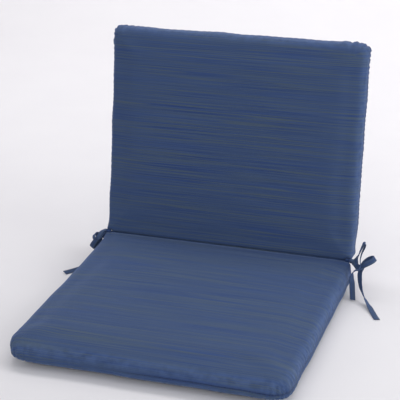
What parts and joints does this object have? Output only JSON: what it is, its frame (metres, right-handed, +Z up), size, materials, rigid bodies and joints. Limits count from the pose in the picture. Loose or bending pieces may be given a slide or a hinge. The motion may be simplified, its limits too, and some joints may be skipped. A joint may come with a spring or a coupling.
{
  "type": "hinged chair cushion",
  "caption": "Hinged chair cushion: a padded seat section and a padded back section joined by a fabric hinge, with fabric ties at both ends of the hinge.",
  "frame": {"origin": "centre of the seat section's underside, on the surface that the cushion lies on", "axes": "+X to the sitter's left across the width (the picture's right), +Y from the seat's front edge to the hinge, +Z up"},
  "size_m": [0.6659, 0.6323, 0.4782],
  "materials": {
    "seat_fabric": "woven outdoor fabric with slub lines across the width, denim blue",
    "back_fabric": "woven outdoor fabric with slub lines across the width, denim blue",
    "seam_fabric": "sewn-together fabric edges",
    "web_fabric": "folded woven fabric strip",
    "tie_fabric": "folded and edge-stitched woven fabric strap",
    "thread": "polyester sewing thread",
    "foam": "open-cell cushion foam",
    "batting": "fluffy polyester sheet"
  },
  "bodies": {
    "seat": {"seat_foam": "foam", "seat_batting_top": "batting", "seat_batting_bottom": "batting", "seat_top_panel": "seat_fabric", "seat_bottom_panel": "seat_fabric", "seat_seam": "seam_fabric", "hinge_web": "web_fabric", "hinge_stitch_seat": "thread", "tie_tack_right": "thread", "tie_tack_left": "thread", "tie_right_long": "tie_fabric", "tie_right_short": "tie_fabric", "tie_left_long": "tie_fabric", "tie_left_short": "tie_fabric"},
    "back": {"back_foam": "foam", "back_batting_front": "batting", "back_batting_rear": "batting", "back_front_panel": "back_fabric", "back_rear_panel": "back_fabric", "back_seam": "seam_fabric", "hinge_stitch_back": "thread"}
  },
  "joints": [
    {"name": "back_fold", "type": "hinge", "parent": "seat", "child": "back", "pos_m": [0, 0.248, 0.058], "axis": [-1, 0, 0], "range_deg": [-97, 79], "deforming": ["hinge_web"]}
  ]
}
